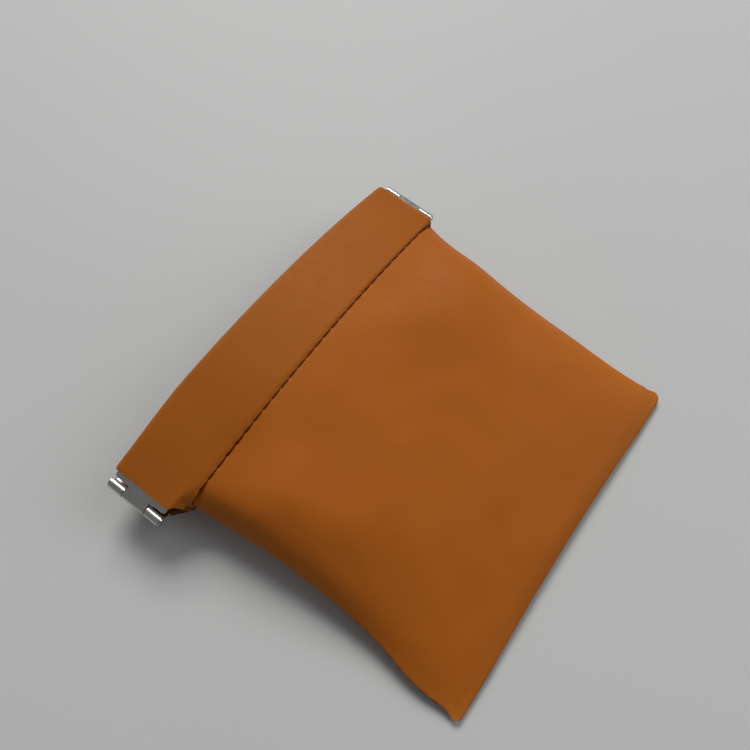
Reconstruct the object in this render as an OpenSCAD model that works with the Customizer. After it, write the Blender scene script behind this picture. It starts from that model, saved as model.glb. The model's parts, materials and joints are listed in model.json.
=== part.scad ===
// Flex-frame coin purse: a folded leather pouch whose mouth is held by two sprung steel strips,
// hinged to each other at both ends. It rests on its back, with the mouth part open.
// Leather and strips bend in use, so each is cut where it bends into left, centre and right parts.
// X runs along the mouth, Y from the bottom fold to the mouth, Z up from the surface it rests on.

/* [Purse] */
// Distance between the two hinge pins, along the mouth
pin_span = 108; // [100:1:120]
// Length of each side of the pouch, from the centre of the bottom fold to the rim
side_len = 93; // [85:1:105]
// Width across the bottom fold
bottom_w = 90; // [84:1:94]
// Width across the tops of the two side seams
seam_top_w = 97; // [92:1:99]
// Thickness over the middle of the mouth at rest
mouth_t = 19; // [17:0.5:22]
// Thickness over the bottom fold
fold_t = 4.5; // [4:0.1:5.5]

/* [Leather] */
// Thickness of the outer leather
leather_t = 0.9; // [0.7:0.1:1.1]
// Thickness of the turned-in leather behind a strip
facing_t = 0.8; // [0.6:0.1:0.9]
// Depth of a casing, from the rim to its stitch line
casing_h = 20.5; // [19:0.5:24]
// Width of a casing, along the mouth
casing_w = 103.6; // [100:0.2:104]
// How far the casings sit off the middle, towards the right hinge
casing_shift = 1; // [0:0.1:1.2]

/* [Spring strips] */
// Width of a strip
strip_w = 15; // [12:0.5:16]
// Thickness of a strip
strip_t = 0.5; // [0.4:0.05:0.6]
// Radius of the corners at the end of a strip
strip_corner_r = 0.6; // [0.3:0.1:1]

/* [Hinges] */
// Diameter of a hinge pin
pin_d = 1.5; // [1.2:0.1:1.6]
// Gap between a pin and the bore around it
pin_play = 0.05; // [0.03:0.01:0.08]
// Length of the middle knuckle, on the front strip
middle_knuckle_w = 6.4; // [5:0.1:8]
// Gap between two knuckles
knuckle_gap = 0.3; // [0.2:0.05:0.4]
// Length of the tabs that carry the knuckles
tab_len = 1.9; // [1.8:0.1:2.4]
// Diameter of the flared head at each end of a pin
pin_head_d = 2.1; // [1.8:0.1:2.4]
// Thickness of a pin's head
pin_head_t = 0.3; // [0.2:0.05:0.5]

/* [Stitching] */
// Distance from one stitch to the next
stitch_pitch = 3.3; // [3:0.1:4]
// Length of the thread that shows in one stitch
stitch_len = 2.3; // [1.5:0.1:2.6]
// Diameter of the thread
thread_d = 0.4; // [0.3:0.05:0.45]

/* [Hidden] */

leather = "peru";
steel = "silver";
thread = "saddlebrown";
bow_fn = 720;
round_fn = 48;
thread_fn = 16;
small = 0.01;
margin = 1;

// Clearances between parts that bend against each other
slot_play = 0.1;
slot_end_play = 0.5;
casing_gap = 0.7;
strip_gap = 0.2;
sheet_gap = 0.5;
stitch_line_gap = 1;
seam_gap = 1.6;
groove_play = 0.4;

// How far the turned-in leather reaches below the stitch line, how far below the panels' top edge
// the side seams end, how far above the middle of its casing a strip lies, and how far the ends of
// the panel that the purse rests on are set in
casing_flap = 1.5;
seam_drop = 3.5;
strip_off = 0.75;
rest_inset = 1.3;

// How far the fold's leather reaches above the middle of the fold, under the front panel
fold_lap = 1;

// A strip's middle surface is an arc. Its end rolls round the pin, so the arc passes a little
// outside the pin's axis. bow_r is the arc's radius, and its centre is bow_drop below the pins.
knuckle_wall = strip_t;
bore_r = pin_d / 2 + pin_play;
knuckle_r = bore_r + knuckle_wall;
roll_off = knuckle_r - strip_t / 2;
apex = mouth_t / 2 - leather_t - slot_play - strip_t / 2;
bow_drop = (pow(pin_span / 2, 2) - pow(apex - roll_off, 2)) / (2 * (apex - roll_off));
bow_r = apex + bow_drop;
pin_angle = asin(pin_span / 2 / (bow_r - roll_off));

// Each strip bends at two places, a third of its arc from either end
flex_angle = pin_angle / 3;
flex_x = bow_r * sin(flex_angle);
function arc_angle(length) = length / bow_r * 180 / PI;
tab_angle = arc_angle(tab_len);

// Radii of the casing's layers
slot_in = bow_r - strip_t / 2 - slot_play;
slot_out = bow_r + strip_t / 2 + slot_play;
casing_in = slot_in - facing_t;
casing_out = slot_out + leather_t;

// Ends of the casings, and half the gap between two of their parts, as angles
casing_half = arc_angle(casing_gap / 2);
casing_left = -asin((casing_w / 2 - casing_shift) / bow_r);
casing_right = asin((casing_w / 2 + casing_shift) / bow_r);

// Places along a side, measured from the centre of the bottom fold
stitch_u = side_len - casing_h;
casing_u = stitch_u - casing_flap;
panel_u = casing_u - stitch_line_gap;
seam_top_u = panel_u - seam_drop;
strip_mid_u = (stitch_u + side_len) / 2 + strip_off;
strip_u = [strip_mid_u - strip_w / 2, strip_mid_u + strip_w / 2];
middle_knuckle = [strip_mid_u - middle_knuckle_w / 2, strip_mid_u + middle_knuckle_w / 2];
low_knuckle = [strip_u[0], middle_knuckle[0] - knuckle_gap];
high_knuckle = [middle_knuckle[1] + knuckle_gap, strip_u[1]];

// The mouth leans up so that the back casing just clears the surface that the purse rests on
fold_r = fold_t / 2;
lean = asin((mouth_t / 2 - fold_r) / casing_u);
fold_z = fold_r;
fold_y = -(cos(lean) * side_len + sin(lean) * mouth_t / 2 - fold_r) / 2;

// A point given across, up and out of the leaning middle plane of the purse
function on_lean(x, u, w) = [
    x,
    fold_y + cos(lean) * u - sin(lean) * w,
    fold_z + sin(lean) * u + cos(lean) * w
];

// Corners of the leather panels, in the middle of the leather. side is -1 for left, 1 for right,
// and face is -1 for the back, 1 for the front
function bottom_corner(side, face) = [side * bottom_w / 2, fold_y, fold_z + face * (fold_r - leather_t / 2)];
function flex_corner(side, face) = face > 0
    ? on_lean(side * flex_x, panel_u, mouth_t / 2 - leather_t / 2)
    : [side * flex_x, fold_y + panel_u, leather_t / 2];
function seam_corner(side, face) = on_lean(side * seam_top_w / 2, seam_top_u, face * seam_gap / 2);

module on_front() translate([0, fold_y, fold_z]) rotate([lean, 0, 0]) children();
module on_back() on_front() mirror([0, 0, 1]) children();
module on_right() mirror([1, 0, 0]) children();

// Extrudes a section drawn across the mouth, from one place along the side to another
module along(span) {
    translate([0, span[1], 0]) rotate([90, 0, 0]) linear_extrude(span[1] - span[0]) children();
}

// Section of a bowed band between two radii and two angles from the middle of the mouth
module bow(r_in, r_out, from, to) {
    reach = 1.2 * bow_r;
    translate([0, -bow_drop]) intersection() {
        difference() {
            circle(r = r_out, $fn = bow_fn);
            circle(r = r_in, $fn = bow_fn);
        }
        polygon([[0, 0], reach * [sin(from), cos(from)], reach * [sin(to), cos(to)]]);
    }
}

module strip_bow(from, to) bow(bow_r - strip_t / 2, bow_r + strip_t / 2, from, to);

// A cylinder lying along a pin's axis
module pin_round(r, span) {
    translate([-pin_span / 2, span[1], 0]) rotate([90, 0, 0])
        cylinder(r = r, h = span[1] - span[0], $fn = round_fn);
}

module strip_middle() {
    edge = flex_angle - arc_angle(strip_gap / 2);
    color(steel) along(strip_u) strip_bow(-edge, edge);
}

// Left end of a strip: the plate, the tabs past its shoulder and the knuckles rolled round the pin
module strip_end(knuckles) {
    shoulder = -pin_angle + tab_angle;
    inner = -flex_angle - arc_angle(strip_gap / 2);
    r = strip_corner_r;
    corner_x = bow_r * sin(shoulder) + r;
    color(steel) difference() {
        union() {
            along([strip_u[0] + r, strip_u[1] - r]) strip_bow(shoulder, inner);
            along(strip_u) strip_bow(shoulder + arc_angle(r), inner);
            for (u = [strip_u[0] + r, strip_u[1] - r]) intersection() {
                along(strip_u) strip_bow(shoulder, shoulder + arc_angle(3 * r));
                translate([corner_x, u, 0]) cylinder(r = r, h = mouth_t, $fn = round_fn);
            }
            for (k = knuckles) {
                along(k) strip_bow(-pin_angle, shoulder + arc_angle(r));
                pin_round(knuckle_r, k);
            }
        }
        pin_round(bore_r, [strip_u[0] - margin, strip_u[1] + margin]);
    }
}

// The pin's heads are flared over the ends of the outer knuckles
module pin() color(steel) {
    ends = [strip_u[0] - pin_play, strip_u[1] + pin_play];
    pin_round(pin_d / 2, [ends[0] - pin_head_t, ends[1] + pin_head_t]);
    pin_round(pin_head_d / 2, [ends[0] - pin_head_t, ends[0]]);
    pin_round(pin_head_d / 2, [ends[1], ends[1] + pin_head_t]);
}

// Leather tube round a strip, between two angles, with a groove for the stitches
module casing(from, to) {
    slot = [strip_u[0] - slot_end_play, side_len - leather_t];
    groove_half = (thread_d + groove_play) / 2;
    cut_from = from - margin;
    cut_to = to + margin;
    color(leather) difference() {
        along([casing_u, side_len]) bow(casing_in, casing_out, from, to);
        along(slot) bow(slot_in, slot_out, cut_from, cut_to);
        along([stitch_u - groove_half, stitch_u + groove_half])
            bow(casing_out - thread_d, casing_out + margin, cut_from, cut_to);
    }
}

// The stitches of one casing that lie between two angles
module casing_stitches(from, to) {
    step = arc_angle(stitch_pitch);
    reach = arc_angle(stitch_len / 2) + casing_half;
    count = floor((casing_right - casing_left) / step);
    first = (casing_left + casing_right - (count - 1) * step) / 2;
    color(thread) for (i = [0 : count - 1]) {
        a = first + i * step;
        if (a > from + reach && a < to - reach) translate([0, stitch_u, -bow_drop]) rotate([0, a, 0])
            translate([-stitch_len / 2, 0, casing_out - thread_d / 2 + small]) rotate([0, 90, 0])
                cylinder(d = thread_d - 2 * small, h = stitch_len, $fn = thread_fn);
    }
}

// A flat sheet of leather with the given corners, all set in by sheet_gap
module sheet(corners) {
    ex = (corners[1] - corners[0]) / norm(corners[1] - corners[0]);
    normal = cross(ex, corners[2] - corners[0]);
    ez = normal / norm(normal);
    ey = cross(ez, ex);
    o = corners[0];
    frame = [[ex.x, ey.x, ez.x, o.x], [ex.y, ey.y, ez.y, o.y], [ex.z, ey.z, ez.z, o.z]];
    color(leather) multmatrix(frame) translate([0, 0, -leather_t / 2]) linear_extrude(leather_t)
        offset(delta = -sheet_gap) polygon([for (p = corners) [(p - o) * ex, (p - o) * ey]]);
}

module side_panel(side, face) {
    sheet([bottom_corner(side, face), flex_corner(side, face), seam_corner(side, face)]);
}

module front_panel() {
    sheet([bottom_corner(-1, 1), bottom_corner(1, 1), flex_corner(1, 1), flex_corner(-1, 1)]);
}

// The back rests flat on this panel
module back_panel() {
    bottom = bottom_w / 2 - 2 * rest_inset;
    top = flex_x - rest_inset;
    color(leather) linear_extrude(leather_t) polygon([
        [-bottom, fold_y + sheet_gap], [bottom, fold_y + sheet_gap],
        [top, fold_y + panel_u - sheet_gap], [-top, fold_y + panel_u - sheet_gap]
    ]);
}

// The fold stops short of the front panel, which swings over it
module fold() color(leather) translate([-bottom_w / 2, fold_y, fold_z]) rotate([90, 0, 90])
    linear_extrude(bottom_w) intersection() {
        difference() {
            circle(r = fold_r, $fn = round_fn);
            circle(r = fold_r - leather_t, $fn = round_fn);
        }
        translate([-fold_t, -fold_r]) square([fold_t, fold_r + fold_lap]);
    }

// Lock stitches down a side seam, on the line where the front and back meet
module seam_stitching(side) {
    low = (bottom_corner(side, 1) + bottom_corner(side, -1)) / 2;
    high = (seam_corner(side, 1) + seam_corner(side, -1)) / 2;
    run = high - low;
    count = floor(norm(run) / stitch_pitch) - 1;
    color(thread) for (i = [1 : count]) translate(low + run * i / (count + 1))
        rotate([90 - asin(run.z / norm(run)), 0, atan2(run.y, run.x) - 90]) rotate([180, 0, 0])
            translate([0, 0, -stitch_len / 2]) cylinder(d = thread_d, h = stitch_len, $fn = thread_fn);
}

module back_panel_center() back_panel();
module back_panel_left() side_panel(-1, -1);
module back_panel_right() side_panel(1, -1);
module bottom_fold() fold();
module front_panel_center() front_panel();
module front_panel_left() side_panel(-1, 1);
module front_panel_right() side_panel(1, 1);
module left_seam_stitching() seam_stitching(-1);
module right_seam_stitching() seam_stitching(1);
module back_casing_center() on_back() casing(-flex_angle + casing_half, flex_angle - casing_half);
module back_casing_left() on_back() casing(casing_left, -flex_angle - casing_half);
module back_casing_right() on_back() casing(flex_angle + casing_half, casing_right);
module front_casing_center() on_front() casing(-flex_angle + casing_half, flex_angle - casing_half);
module front_casing_left() on_front() casing(casing_left, -flex_angle - casing_half);
module front_casing_right() on_front() casing(flex_angle + casing_half, casing_right);
module back_strip_center() on_back() strip_middle();
module back_strip_left() on_back() strip_end([low_knuckle, high_knuckle]);
module back_strip_right() on_back() on_right() strip_end([low_knuckle, high_knuckle]);
module front_strip_center() on_front() strip_middle();
module front_strip_left() on_front() strip_end([middle_knuckle]);
module front_strip_right() on_front() on_right() strip_end([middle_knuckle]);
module left_pin() on_front() pin();
module right_pin() on_front() on_right() pin();
module back_stitching_center() on_back() casing_stitches(-flex_angle, flex_angle);
module back_stitching_left() on_back() casing_stitches(casing_left, -flex_angle);
module back_stitching_right() on_back() casing_stitches(flex_angle, casing_right);
module front_stitching_center() on_front() casing_stitches(-flex_angle, flex_angle);
module front_stitching_left() on_front() casing_stitches(casing_left, -flex_angle);
module front_stitching_right() on_front() casing_stitches(flex_angle, casing_right);

back_panel_center();
back_panel_left();
back_panel_right();
bottom_fold();
front_panel_center();
front_panel_left();
front_panel_right();
left_seam_stitching();
right_seam_stitching();
back_casing_center();
back_casing_left();
back_casing_right();
front_casing_center();
front_casing_left();
front_casing_right();
back_strip_center();
back_strip_left();
back_strip_right();
front_strip_center();
front_strip_left();
front_strip_right();
left_pin();
right_pin();
back_stitching_center();
back_stitching_left();
back_stitching_right();
front_stitching_center();
front_stitching_left();
front_stitching_right();
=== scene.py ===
"""Looks of a flex-frame coin purse: soft leather, stitching and sprung steel, built round its CAD frame.

Lengths are millimetres until a mesh is made. Most of the shape is worked out in the purse's own lean
coordinates: x across the mouth, u along the side from the bottom fold, w out of the middle plane.
"""
import json
import math

import bpy
import numpy as np
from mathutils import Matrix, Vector


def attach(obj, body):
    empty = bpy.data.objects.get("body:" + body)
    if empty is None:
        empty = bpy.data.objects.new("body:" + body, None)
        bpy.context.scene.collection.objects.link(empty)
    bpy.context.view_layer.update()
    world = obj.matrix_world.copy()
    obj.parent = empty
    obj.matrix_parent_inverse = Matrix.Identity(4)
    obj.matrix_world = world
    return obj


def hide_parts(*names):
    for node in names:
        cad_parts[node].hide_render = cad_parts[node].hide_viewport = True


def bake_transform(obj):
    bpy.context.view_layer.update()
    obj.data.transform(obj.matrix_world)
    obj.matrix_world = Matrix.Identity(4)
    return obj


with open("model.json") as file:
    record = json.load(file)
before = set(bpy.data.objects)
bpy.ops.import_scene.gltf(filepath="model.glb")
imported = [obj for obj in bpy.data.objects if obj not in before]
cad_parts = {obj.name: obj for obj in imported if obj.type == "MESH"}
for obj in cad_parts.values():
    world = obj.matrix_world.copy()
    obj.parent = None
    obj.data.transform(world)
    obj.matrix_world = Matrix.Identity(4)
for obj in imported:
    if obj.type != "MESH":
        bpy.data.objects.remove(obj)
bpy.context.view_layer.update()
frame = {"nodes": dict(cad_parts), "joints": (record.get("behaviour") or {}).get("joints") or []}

# ---- sizes taken from the frame

MM = 0.001
FRONT, BACK = 1, -1
LEFT, RIGHT = -1, 1
FACE_NAMES = {FRONT: "front", BACK: "back"}
SIDE_NAMES = {LEFT: "left", RIGHT: "right"}

joints = {joint["name"]: joint for joint in frame["joints"]}
FOLD_CENTRE = np.array(joints["front_swing"]["pos_m"]) / MM
ALONG = -np.array(joints["left_hinge"]["axis"])
OUT = np.array([0.0, -ALONG[2], ALONG[1]])


def to_row(lean):
    """Row-frame points, still in millimetres, from lean coordinates."""
    x, u, w = np.moveaxis(np.asarray(lean, float), -1, 0)
    across = np.multiply.outer(x, [1.0, 0.0, 0.0])
    return FOLD_CENTRE + across + np.multiply.outer(u, ALONG) + np.multiply.outer(w, OUT)


def to_lean(row):
    """Lean coordinates from row-frame points in millimetres."""
    offset = np.asarray(row, float) - FOLD_CENTRE
    return np.stack([offset[..., 0], offset @ ALONG, offset @ OUT], -1)


def lean_box(node):
    """Lowest and highest lean coordinates of a CAD node."""
    points = np.array([v.co for v in frame["nodes"][node].data.vertices]) / MM
    lean = to_lean(points)
    return lean.min(0), lean.max(0)


LEATHER_T = 0.9     # outer leather
FACING_T = 0.8      # turned-in leather behind a strip
STRIP_ROOM = 0.7    # the slot between them that holds the strip

_, casing_hi = lean_box("front_casing_center")
strip_lo, strip_hi = lean_box("front_strip_center")
_, seam_hi = lean_box("right_seam_stitching")
RIM_U = casing_hi[1]
MOUTH_W = casing_hi[2]
STRIP_U = (strip_lo[1], strip_hi[1])
HINGE_SHOWN = 1.1    # the right ends of the casings are pushed back by this much, off the hinge
CASING_X = {LEFT: lean_box("front_casing_left")[0][0],
            RIGHT: lean_box("front_casing_right")[1][0] - HINGE_SHOWN}
THREAD_R = 0.2       # of the CAD model's thread
STITCH_U = lean_box("front_stitching_center")[0][1] + THREAD_R

# Each strip lies on an arc through its two flex lines; its centre is BOW_DROP below the middle plane
FLEX_X, _, FLEX_W = to_lean(np.array(joints["front_right_flex"]["pos_m"]) / MM)
STRIP_APEX = MOUTH_W - LEATHER_T - STRIP_ROOM / 2
BOW_DROP = (FLEX_X**2 + FLEX_W**2 - STRIP_APEX**2) / (2 * (STRIP_APEX - FLEX_W))
BOW_R = STRIP_APEX + BOW_DROP
OUTER = STRIP_ROOM / 2 + LEATHER_T       # the casing's two surfaces, from the strip's middle
INNER = -STRIP_ROOM / 2 - FACING_T

STITCH_PITCH = 3.3
STITCH_LEN = 2.3     # of a side seam's stitches

# The valley that the casing's stitch line pulls into the leather
VALLEY_DEPTH = 0.3
VALLEY_WIDTH = 0.9
VALLEY = OUTER - VALLEY_DEPTH        # offset of its bottom from the strip's middle

# The pouch, from the fold to the stitch line. It is not quite even: the stitch line runs up towards
# the rim at the right, the right side is fuller, and the two bottom corners differ
SEAM_X = seam_hi[0] + THREAD_R
BOTTOM_X = abs(joints["front_left_fold"]["pos_m"][0]) / MM
TOP_HALF = {LEFT: SEAM_X - 1.2, RIGHT: SEAM_X + 3.9}
BOTTOM_HALF = {LEFT: BOTTOM_X + 2.2, RIGHT: BOTTOM_X + 3.8}
CORNER_R = {LEFT: 1.5, RIGHT: 2.8}
CORNER_FLARE = {LEFT: 1.7, RIGHT: -0.6}    # how far the sides bulge just above the corners
FLARE_U = (9.0, 10.0)    # middle and reach of the bulge along a side
STITCH_TILT = 0.021      # rise of the stitch line across the mouth
FOLD_R = FOLD_CENTRE[2]  # the bottom fold's axis is this far above the floor
FOLD_HOLLOW = 1.3        # the bottom edge's middle is this far above its corners
SIDE_PULL = 2.2          # how far the sides' waist is pulled in
PULL_PLACE = 1.4         # above 1 moves the sides' waist up towards the mouth
DENT_PLACE = (-31.0, 72.0)           # x and u of the soft hollow on the front's stitch line
DENT_DEPTH = 0.35
DENT_SIZE = (8.5, 6.5)
DENT_TURN = (0.58, 0.81)             # sine and cosine of its slant
RIM_DROP = 1.0           # the casings' rim bends down by this much towards the left hinge

GRID_STEP = 0.66         # spacing of the finished grids' columns
EDGE_RUN = 3.0           # within this of a seam or the fold, the spacing is finer:
EDGE_COLUMN = 0.3
EDGE_ROW = 0.25
FACE_ROW = 0.8           # and this is the rows' spacing elsewhere


def smoothstep(low, high, value):
    t = np.clip((np.asarray(value, float) - low) / (high - low), 0, 1)
    return t * t * (3 - 2 * t)


def bow_w(x, offset=0.0):
    """Height of a strip's arc over the middle plane at x, moved outward by offset."""
    return np.sqrt((BOW_R + offset) ** 2 - np.asarray(x, float) ** 2) - BOW_DROP


def by_side(x, halves):
    """The left or the right value of a pair, by the sign of x."""
    return np.where(np.asarray(x) < 0, halves[LEFT], halves[RIGHT])


def stitch_u(x):
    """Place of the casing's stitch line along the side, at x."""
    return STITCH_U + STITCH_TILT * (np.asarray(x, float) + SEAM_X)


def dent(lean):
    """Depth of the soft hollow that crosses the front's stitch line near its left end."""
    x, u = lean[..., 0] - DENT_PLACE[0], lean[..., 1] - DENT_PLACE[1]
    small, large = DENT_TURN
    along, off = small * x - large * u, large * x + small * u
    depth = DENT_DEPTH * np.exp(-(along / DENT_SIZE[0]) ** 2 - (off / DENT_SIZE[1]) ** 2)
    return depth * smoothstep(0, 2, lean[..., 2])


def side_pull(up):
    """How far the sides are pulled in, as a share of SIDE_PULL, from the fold (0) to the mouth (1)."""
    return np.sin(math.pi * up**PULL_PLACE)


def stitch_angles():
    """Angles of the casing's stitches from the middle of the mouth."""
    left, right = (math.asin(CASING_X[side] / BOW_R) for side in (LEFT, RIGHT))
    step = STITCH_PITCH / BOW_R
    count = int((right - left) // step)
    first = (left + right - (count - 1) * step) / 2
    return first + step * np.arange(count)


# ---- meshes from grids of points


EDGE_LEAN = 0.02         # normals at a grid's side edges lean outwards by this much


def unit(vectors):
    return vectors / np.maximum(np.linalg.norm(vectors, axis=-1, keepdims=True), 1e-9)


def grid_normals(points, wrap=False):
    """Smooth normals of a grid of points; wrap joins the last row to the first."""
    if wrap:
        down = np.roll(points, -1, 0) - np.roll(points, 1, 0)
    else:
        down = np.gradient(points, axis=0)
    across = np.gradient(points, axis=1)
    normals = unit(np.cross(across, down))
    if not wrap:
        for edge, inner in ((0, 1), (-1, -2)):
            normals[:, edge] += EDGE_LEAN * unit(points[:, edge] - points[:, inner])
    return unit(normals)


def quads(rows, columns, first=0, wrap=False, flip=False):
    """Faces of a grid whose points are numbered row by row from first."""
    row_count = rows if wrap else rows - 1
    faces = []
    for r in range(row_count):
        for c in range(columns - 1):
            a, b = first + r * columns + c, first + (r + 1) % rows * columns + c
            face = (a, a + 1, b + 1, b)
            faces.append(face[::-1] if flip else face)
    return faces


def make_mesh(name, points, faces, slots, normals=None, rub=None):
    """A mesh object from row-frame points in millimetres. slots gives each face's material."""
    mesh = bpy.data.meshes.new(name)
    mesh.from_pydata((np.asarray(points) * MM).tolist(), [], faces)
    mesh.polygons.foreach_set("use_smooth", np.ones(len(faces), bool))
    mesh.polygons.foreach_set("material_index", np.asarray(slots, np.int32))
    mesh.validate()
    if normals is not None:
        corner_vertex = np.zeros(len(mesh.loops), np.int32)
        mesh.loops.foreach_get("vertex_index", corner_vertex)
        mesh.normals_split_custom_set(np.asarray(normals)[corner_vertex].tolist())
    if rub is not None:
        wear = mesh.attributes.new("rub", "FLOAT", "POINT")
        wear.data.foreach_set("value", np.asarray(rub, np.float32))
    obj = bpy.data.objects.new(name, mesh)
    bpy.context.scene.collection.objects.link(obj)
    return obj


def sheet(name, outer, inner, outer_normals, rub, materials):
    """A closed sheet of leather between two grids: face 0 outside, 1 inside, 2 round its cut edges.
    rub says how worn each point is, from 0 to 1."""
    rows, columns, _ = outer.shape
    count = rows * columns
    points = [outer.reshape(-1, 3), inner.reshape(-1, 3)]
    normals = [outer_normals.reshape(-1, 3), -outer_normals.reshape(-1, 3)]
    faces = quads(rows, columns) + quads(rows, columns, first=count, flip=True)
    slots = [0] * (len(faces) // 2) + [1] * (len(faces) // 2)
    index = np.arange(count).reshape(rows, columns)
    border = np.concatenate([index[0, :-1], index[:-1, -1], index[-1, :0:-1], index[:0:-1, 0]])
    start = 2 * count
    rim = np.concatenate([border, border + count])
    points += [np.concatenate(points)[rim]]
    loop = len(border)
    middle = (outer + inner).reshape(-1, 3)[border] / 2
    tangent = np.roll(middle, -1, 0) - np.roll(middle, 1, 0)
    edge_normals = unit(np.cross(normals[0][border], tangent))
    away = middle - (outer + inner).reshape(-1, 3).mean(0) / 2
    edge_normals *= np.sign((edge_normals * away).sum(-1, keepdims=True))
    normals += [edge_normals, edge_normals]
    for k in range(loop):
        n = (k + 1) % loop
        faces.append((start + n, start + k, start + loop + k, start + loop + n))
        slots.append(2)
    wear = np.concatenate([rub.ravel(), rub.ravel(), 0 * rub.ravel()[border], 0 * rub.ravel()[border]])
    obj = make_mesh(name, np.concatenate(points), faces, slots, np.concatenate(normals), wear)
    for material in materials:
        obj.data.materials.append(material)
    return obj


def cubic(grid, at):
    """Catmull-Rom samples of a grid along its first axis, at fractional row numbers."""
    last = len(grid) - 1
    base = np.clip(np.floor(at).astype(int), 0, last - 1)
    t = (at - base).reshape((-1,) + (1,) * (grid.ndim - 1))
    padded = np.concatenate([2 * grid[:1] - grid[1:2], grid, 2 * grid[-1:] - grid[-2:-1]])
    p0, p1, p2, p3 = (padded[base + k] for k in range(4))
    bend = 2 * p0 - 5 * p1 + 4 * p2 - p3
    twist = 3 * (p1 - p2) + p3 - p0
    return p1 + 0.5 * t * (p2 - p0 + t * (bend + t * twist))


def resample(grid, rows_at, columns_at):
    """A grid sampled at fractional row and column numbers."""
    rows = cubic(grid, rows_at)
    return cubic(rows.swapaxes(0, 1), columns_at).swapaxes(0, 1)


# ---- the pouch's leather

POUCH_ROWS = 38          # simulated rows on each face
POUCH_COLUMNS = 48
FLAT_EASE = 1.012        # the flat pattern is this much wider than the filled pouch
SEAM_ROUND = 5.5         # the stitch line turns down to the seam over this width
SEAM_EDGE_W = 0.45
FULLNESS = 3.4           # how far the contents push the front out over its middle
SIM_SCALE = 0.01         # simulated metres per millimetre
SIM_FRAMES = 40
SIM_REACH = 6.0          # the farthest a point may move
TABLE_HALF = 2.0         # simulated metres
TABLE_DROP = 0.004
CLOTH = {"quality": 8, "mass": 0.2, "air_damping": 3, "tension_stiffness": 60, "compression_stiffness": 60,
         "shear_stiffness": 30, "bending_stiffness": 3, "tension_damping": 20, "compression_damping": 20,
         "bending_damping": 3, "pin_stiffness": 1, "use_pressure": True, "pressure_factor": 12,
         "uniform_pressure_force": 0}


def top_curve(x):
    """Height of the stitch line: the bow, turned down to meet the other face at the side seams."""
    into_round = np.clip((np.abs(x) - by_side(x, TOP_HALF)) / SEAM_ROUND + 1, 0, 1)
    return SEAM_EDGE_W + (bow_w(x, VALLEY) - SEAM_EDGE_W) * np.sqrt(1 - into_round**2.4)


def pouch_start(across, up):
    """Places x and u and the front and back heights of the filled pouch. across runs from -1 to 1,
    and up from 0 at the fold to 1."""
    half = by_side(across, BOTTOM_HALF) * (1 - up) + by_side(across, TOP_HALF) * up
    x = across * (half - SIDE_PULL * side_pull(up))
    u = -FOLD_R + (stitch_u(x) + FOLD_R) * up
    fold_rise = np.sqrt(1 - (1 - np.clip((u + FOLD_R) / FOLD_R, 0, 1)) ** 2)
    crown = 2.6 + 14 * up**3
    edge = (1 - np.abs(across) ** crown) ** (0.75 - 0.25 * up)
    rise = FOLD_R * fold_rise + (MOUTH_W - VALLEY_DEPTH - FOLD_R) * np.clip(u / STITCH_U, 0, 1)
    flat_w = edge * rise
    front_w = edge * (rise + FULLNESS * np.sin(math.pi * np.clip(up, 0, 1)) ** 1.2)
    join = smoothstep(0.72, 1, up)
    bow = top_curve(x)
    front_w = front_w * (1 - join) + bow * join
    back_w = flat_w * (1 - join) + bow * join
    return x, u, front_w, -back_w


def pouch_grids():
    """Start and flat lean grids: rows run down the back, round the fold and up the front."""
    up = np.linspace(0, 1, POUCH_ROWS + 1)
    across = np.linspace(-1, 1, POUCH_COLUMNS + 1)
    up_grid, across_grid = np.meshgrid(up, across, indexing="ij")
    x, u, front_w, back_w = pouch_start(across_grid, up_grid)
    front = np.stack([x, u, front_w], -1)
    back = np.stack([x, u, back_w], -1)
    start = np.concatenate([back[::-1], front[1:]])

    top = front[-1]
    top_length = np.concatenate([[0], np.cumsum(np.linalg.norm(np.diff(top, axis=0), axis=1))])
    top_flat = (top_length - top_length[POUCH_COLUMNS // 2]) * FLAT_EASE
    column = front[:, POUCH_COLUMNS // 2]
    length = np.concatenate([[0], np.cumsum(np.linalg.norm(np.diff(column, axis=0), axis=1))])
    flat_x = by_side(across_grid, BOTTOM_HALF) * FLAT_EASE * across_grid * (1 - up_grid)
    flat_x += top_flat * up_grid
    flat_x -= across_grid * 0.5 * SIDE_PULL * side_pull(up_grid)
    flat_u = length[:, None] * (stitch_u(flat_x) + FOLD_R) / (stitch_u(0) + FOLD_R)
    flat = np.stack([flat_x, flat_u, 0 * flat_x], -1)
    return start, np.concatenate([flat[::-1], flat[1:]])


def pouch_index():
    """Vertex numbers of the simulated sheet, whose two faces share their side columns."""
    rows, columns = 2 * POUCH_ROWS + 1, POUCH_COLUMNS + 1
    index = np.arange(rows * columns).reshape(rows, columns)
    for c in (0, -1):
        index[POUCH_ROWS + 1:, c] = index[:POUCH_ROWS, c][::-1]
    used, compact = np.unique(index, return_inverse=True)
    return used, compact.reshape(rows, columns)


def sim_object(name, points, faces):
    mesh = bpy.data.meshes.new(name)
    mesh.from_pydata(points.tolist(), [], faces)
    obj = bpy.data.objects.new(name, mesh)
    bpy.context.scene.collection.objects.link(obj)
    return obj


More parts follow.
